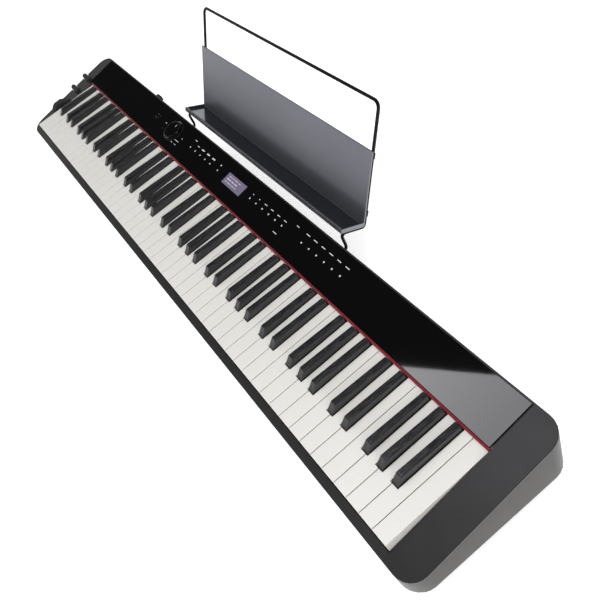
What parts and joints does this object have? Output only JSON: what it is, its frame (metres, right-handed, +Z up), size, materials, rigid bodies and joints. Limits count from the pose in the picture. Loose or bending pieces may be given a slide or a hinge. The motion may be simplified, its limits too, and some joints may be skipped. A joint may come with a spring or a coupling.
{
  "type": "slim digital piano with music rest",
  "caption": "Slim slab digital piano with full-size keyboard, gloss control panel, volume dial, pitch wheel, side knobs and a wire-framed music rest.",
  "frame": {"origin": "centre of the overall footprint, on the plane of the feet", "axes": "+X along the keyboard from bass to treble, +Y from the key fronts to the rear, +Z up"},
  "size_m": [1.3216, 0.3654, 0.2546],
  "materials": {
    "black_key": "fine grained",
    "board": "coated",
    "case": "satin",
    "chassis": "moulded",
    "felt": "felt",
    "gloss": "polished",
    "grey_felt": "felt",
    "knob": "matt",
    "lcd": "polished",
    "rest": "satin",
    "rubber": "matt",
    "speaker": "matt",
    "steel": "drawn",
    "weight": "stamped",
    "white_key": "fine grained",
    "wire": "gloss"
  },
  "bodies": {
    "piano": {"lower_case": "case", "upper_case": "case", "top_panel": "gloss", "key_felt_strip": "felt", "display_module": "lcd", "touch_board": "board", "main_board": "board", "jack_board": "board", "key_chassis": "chassis", "key_fulcrum_rod": "steel", "hammer_pivot_rod": "steel", "hammer_stop_felt": "grey_felt", "key_sensor_board": "board", "speaker_left": "speaker", "speaker_right": "speaker", "foot_front_left": "rubber", "foot_front_right": "rubber", "foot_rear_left": "rubber", "foot_rear_right": "rubber"},
    "key_c4": {"key_c4": "white_key"},
    "hammer_c4": {"hammer_c4": "weight"},
    "key_cs4": {"key_cs4": "black_key"},
    "hammer_cs4": {"hammer_cs4": "weight"},
    "key_d4": {"key_d4": "white_key"},
    "hammer_d4": {"hammer_d4": "weight"},
    "key_ds4": {"key_ds4": "black_key"},
    "hammer_ds4": {"hammer_ds4": "weight"},
    "key_e4": {"key_e4": "white_key"},
    "hammer_e4": {"hammer_e4": "weight"},
    "key_f4": {"key_f4": "white_key"},
    "hammer_f4": {"hammer_f4": "weight"},
    "key_fs4": {"key_fs4": "black_key"},
    "hammer_fs4": {"hammer_fs4": "weight"},
    "key_g4": {"key_g4": "white_key"},
    "hammer_g4": {"hammer_g4": "weight"},
    "key_gs4": {"key_gs4": "black_key"},
    "hammer_gs4": {"hammer_gs4": "weight"},
    "key_a4": {"key_a4": "white_key"},
    "hammer_a4": {"hammer_a4": "weight"},
    "key_as4": {"key_as4": "black_key"},
    "hammer_as4": {"hammer_as4": "weight"},
    "key_b4": {"key_b4": "white_key"},
    "hammer_b4": {"hammer_b4": "weight"},
    "white_keys_a0_b1": {"white_keys_a0_b1": "white_key"},
    "black_keys_a0_b1": {"black_keys_a0_b1": "black_key"},
    "white_keys_c2_b3": {"white_keys_c2_b3": "white_key"},
    "black_keys_c2_b3": {"black_keys_c2_b3": "black_key"},
    "white_keys_c5_b6": {"white_keys_c5_b6": "white_key"},
    "black_keys_c5_b6": {"black_keys_c5_b6": "black_key"},
    "white_keys_c7_c8": {"white_keys_c7_c8": "white_key"},
    "black_keys_c7_c8": {"black_keys_c7_c8": "black_key"},
    "volume_dial": {"volume_dial": "gloss"},
    "power_button": {"power_button": "gloss"},
    "pitch_wheel": {"pitch_wheel": "rubber"},
    "control_knob_rear": {"control_knob_rear": "knob"},
    "control_knob_front": {"control_knob_front": "knob"},
    "music_rest": {"music_rest_panel": "rest", "music_rest_wire": "wire"},
    "battery_cover": {"battery_cover": "case"},
    "wireless_adapter": {"wireless_adapter": "knob"}
  },
  "joints": [
    {"name": "key_c4", "type": "hinge", "parent": "piano", "child": "key_c4", "pos_m": [0.00375, 0.02031, 0.074], "axis": [1, 0, 0], "range_deg": [0, 3.01], "stiffness_Nm_per_rad": 1, "springref_deg": -8.59},
    {"name": "hammer_c4", "type": "hinge", "parent": "piano", "child": "hammer_c4", "pos_m": [-0.05915, -0.06968, 0.046], "axis": [1, 0, 0], "range_deg": [0, 9.8]},
    {"name": "key_cs4", "type": "hinge", "parent": "piano", "child": "key_cs4", "pos_m": [0.00375, 0.02031, 0.074], "axis": [1, 0, 0], "range_deg": [0, 4.09], "stiffness_Nm_per_rad": 0.6, "springref_deg": -8.59},
    {"name": "hammer_cs4", "type": "hinge", "parent": "piano", "child": "hammer_cs4", "pos_m": [-0.04545, -0.06968, 0.046], "axis": [1, 0, 0], "range_deg": [0, 13.3]},
    {"name": "key_d4", "type": "hinge", "parent": "piano", "child": "key_d4", "pos_m": [0.00375, 0.02031, 0.074], "axis": [1, 0, 0], "range_deg": [0, 3.01], "stiffness_Nm_per_rad": 1, "springref_deg": -8.59},
    {"name": "hammer_d4", "type": "hinge", "parent": "piano", "child": "hammer_d4", "pos_m": [-0.0315, -0.06968, 0.046], "axis": [1, 0, 0], "range_deg": [0, 9.8]},
    {"name": "key_ds4", "type": "hinge", "parent": "piano", "child": "key_ds4", "pos_m": [0.00375, 0.02031, 0.074], "axis": [1, 0, 0], "range_deg": [0, 4.09], "stiffness_Nm_per_rad": 0.6, "springref_deg": -8.59},
    {"name": "hammer_ds4", "type": "hinge", "parent": "piano", "child": "hammer_ds4", "pos_m": [-0.01755, -0.06968, 0.046], "axis": [1, 0, 0], "range_deg": [0, 13.3]},
    {"name": "key_e4", "type": "hinge", "parent": "piano", "child": "key_e4", "pos_m": [0.00375, 0.02031, 0.074], "axis": [1, 0, 0], "range_deg": [0, 3.01], "stiffness_Nm_per_rad": 1, "springref_deg": -8.59},
    {"name": "hammer_e4", "type": "hinge", "parent": "piano", "child": "hammer_e4", "pos_m": [-0.00385, -0.06968, 0.046], "axis": [1, 0, 0], "range_deg": [0, 9.8]},
    {"name": "key_f4", "type": "hinge", "parent": "piano", "child": "key_f4", "pos_m": [0.00375, 0.02031, 0.074], "axis": [1, 0, 0], "range_deg": [0, 3.01], "stiffness_Nm_per_rad": 1, "springref_deg": -8.59},
    {"name": "hammer_f4", "type": "hinge", "parent": "piano", "child": "hammer_f4", "pos_m": [0.0108, -0.06968, 0.046], "axis": [1, 0, 0], "range_deg": [0, 9.8]},
    {"name": "key_fs4", "type": "hinge", "parent": "piano", "child": "key_fs4", "pos_m": [0.00375, 0.02031, 0.074], "axis": [1, 0, 0], "range_deg": [0, 4.09], "stiffness_Nm_per_rad": 0.6, "springref_deg": -8.59},
    {"name": "hammer_fs4", "type": "hinge", "parent": "piano", "child": "hammer_fs4", "pos_m": [0.02395, -0.06968, 0.046], "axis": [1, 0, 0], "range_deg": [0, 13.3]},
    {"name": "key_g4", "type": "hinge", "parent": "piano", "child": "key_g4", "pos_m": [0.00375, 0.02031, 0.074], "axis": [1, 0, 0], "range_deg": [0, 3.01], "stiffness_Nm_per_rad": 1, "springref_deg": -8.59},
    {"name": "hammer_g4", "type": "hinge", "parent": "piano", "child": "hammer_g4", "pos_m": [0.03735, -0.06968, 0.046], "axis": [1, 0, 0], "range_deg": [0, 9.8]},
    {"name": "key_gs4", "type": "hinge", "parent": "piano", "child": "key_gs4", "pos_m": [0.00375, 0.02031, 0.074], "axis": [1, 0, 0], "range_deg": [0, 4.09], "stiffness_Nm_per_rad": 0.6, "springref_deg": -8.59},
    {"name": "hammer_gs4", "type": "hinge", "parent": "piano", "child": "hammer_gs4", "pos_m": [0.05075, -0.06968, 0.046], "axis": [1, 0, 0], "range_deg": [0, 13.3]},
    {"name": "key_a4", "type": "hinge", "parent": "piano", "child": "key_a4", "pos_m": [0.00375, 0.02031, 0.074], "axis": [1, 0, 0], "range_deg": [0, 3.01], "stiffness_Nm_per_rad": 1, "springref_deg": -8.59},
    {"name": "hammer_a4", "type": "hinge", "parent": "piano", "child": "hammer_a4", "pos_m": [0.06415, -0.06968, 0.046], "axis": [1, 0, 0], "range_deg": [0, 9.8]},
    {"name": "key_as4", "type": "hinge", "parent": "piano", "child": "key_as4", "pos_m": [0.00375, 0.02031, 0.074], "axis": [1, 0, 0], "range_deg": [0, 4.09], "stiffness_Nm_per_rad": 0.6, "springref_deg": -8.59},
    {"name": "hammer_as4", "type": "hinge", "parent": "piano", "child": "hammer_as4", "pos_m": [0.07755, -0.06968, 0.046], "axis": [1, 0, 0], "range_deg": [0, 13.3]},
    {"name": "key_b4", "type": "hinge", "parent": "piano", "child": "key_b4", "pos_m": [0.00375, 0.02031, 0.074], "axis": [1, 0, 0], "range_deg": [0, 3.01], "stiffness_Nm_per_rad": 1, "springref_deg": -8.59},
    {"name": "hammer_b4", "type": "hinge", "parent": "piano", "child": "hammer_b4", "pos_m": [0.0907, -0.06968, 0.046], "axis": [1, 0, 0], "range_deg": [0, 9.8]},
    {"name": "white_keys_a0_b1", "type": "hinge", "parent": "piano", "child": "white_keys_a0_b1", "pos_m": [0.00375, 0.02031, 0.074], "axis": [1, 0, 0], "range_deg": [0, 3.01], "stiffness_Nm_per_rad": 9, "springref_deg": -8.59},
    {"name": "black_keys_a0_b1", "type": "hinge", "parent": "piano", "child": "black_keys_a0_b1", "pos_m": [0.00375, 0.02031, 0.074], "axis": [1, 0, 0], "range_deg": [0, 4.09], "stiffness_Nm_per_rad": 3.6, "springref_deg": -8.59},
    {"name": "white_keys_c2_b3", "type": "hinge", "parent": "piano", "child": "white_keys_c2_b3", "pos_m": [0.00375, 0.02031, 0.074], "axis": [1, 0, 0], "range_deg": [0, 3.01], "stiffness_Nm_per_rad": 14, "springref_deg": -8.59},
    {"name": "black_keys_c2_b3", "type": "hinge", "parent": "piano", "child": "black_keys_c2_b3", "pos_m": [0.00375, 0.02031, 0.074], "axis": [1, 0, 0], "range_deg": [0, 4.09], "stiffness_Nm_per_rad": 6, "springref_deg": -8.59},
    {"name": "white_keys_c5_b6", "type": "hinge", "parent": "piano", "child": "white_keys_c5_b6", "pos_m": [0.00375, 0.02031, 0.074], "axis": [1, 0, 0], "range_deg": [0, 3.01], "stiffness_Nm_per_rad": 14, "springref_deg": -8.59},
    {"name": "black_keys_c5_b6", "type": "hinge", "parent": "piano", "child": "black_keys_c5_b6", "pos_m": [0.00375, 0.02031, 0.074], "axis": [1, 0, 0], "range_deg": [0, 4.09], "stiffness_Nm_per_rad": 6, "springref_deg": -8.59},
    {"name": "white_keys_c7_c8", "type": "hinge", "parent": "piano", "child": "white_keys_c7_c8", "pos_m": [0.00375, 0.02031, 0.074], "axis": [1, 0, 0], "range_deg": [0, 3.01], "stiffness_Nm_per_rad": 8, "springref_deg": -8.59},
    {"name": "black_keys_c7_c8", "type": "hinge", "parent": "piano", "child": "black_keys_c7_c8", "pos_m": [0.00375, 0.02031, 0.074], "axis": [1, 0, 0], "range_deg": [0, 4.09], "stiffness_Nm_per_rad": 3, "springref_deg": -8.59},
    {"name": "volume_dial", "type": "hinge", "parent": "piano", "child": "volume_dial", "pos_m": [-0.23975, 0.01682, 0.09724], "axis": [0, -0.1427, 0.9898], "range_deg": [-140, 140]},
    {"name": "power_button", "type": "slide", "parent": "piano", "child": "power_button", "axis": [0, 0.1427, -0.9898], "range_m": [0, 0.0012], "stiffness_N_per_m": 400, "springref_m": -0.001},
    {"name": "pitch_wheel", "type": "hinge", "parent": "piano", "child": "pitch_wheel", "pos_m": [-0.61975, -0.10619, 0.0745], "axis": [1, 0, 0], "range_deg": [-35, 35], "stiffness_Nm_per_rad": 0.05},
    {"name": "control_knob_rear", "type": "hinge", "parent": "piano", "child": "control_knob_rear", "pos_m": [-0.64125, -0.01948, 0.09101], "axis": [1, 0, 0], "range_deg": [-140, 140]},
    {"name": "control_knob_front", "type": "hinge", "parent": "piano", "child": "control_knob_front", "pos_m": [-0.64125, -0.05489, 0.0859], "axis": [1, 0, 0], "range_deg": [-140, 140]},
    {"name": "music_rest", "type": "slide", "parent": "piano", "child": "music_rest", "axis": [0, 1, 0], "range_m": [0, 0.025]},
    {"name": "battery_cover", "type": "slide", "parent": "piano", "child": "battery_cover", "axis": [0, 0, -1], "range_m": [0, 0.007]},
    {"name": "wireless_adapter", "type": "slide", "parent": "piano", "child": "wireless_adapter", "axis": [0, 1, 0], "range_m": [0, 0.01]}
  ],
  "couplings": [
    {"joint": "hammer_c4", "follows": "key_c4", "ratio": 3.25},
    {"joint": "hammer_cs4", "follows": "key_cs4", "ratio": 3.25},
    {"joint": "hammer_d4", "follows": "key_d4", "ratio": 3.25},
    {"joint": "hammer_ds4", "follows": "key_ds4", "ratio": 3.25},
    {"joint": "hammer_e4", "follows": "key_e4", "ratio": 3.25},
    {"joint": "hammer_f4", "follows": "key_f4", "ratio": 3.25},
    {"joint": "hammer_fs4", "follows": "key_fs4", "ratio": 3.25},
    {"joint": "hammer_g4", "follows": "key_g4", "ratio": 3.25},
    {"joint": "hammer_gs4", "follows": "key_gs4", "ratio": 3.25},
    {"joint": "hammer_a4", "follows": "key_a4", "ratio": 3.25},
    {"joint": "hammer_as4", "follows": "key_as4", "ratio": 3.25},
    {"joint": "hammer_b4", "follows": "key_b4", "ratio": 3.25}
  ]
}
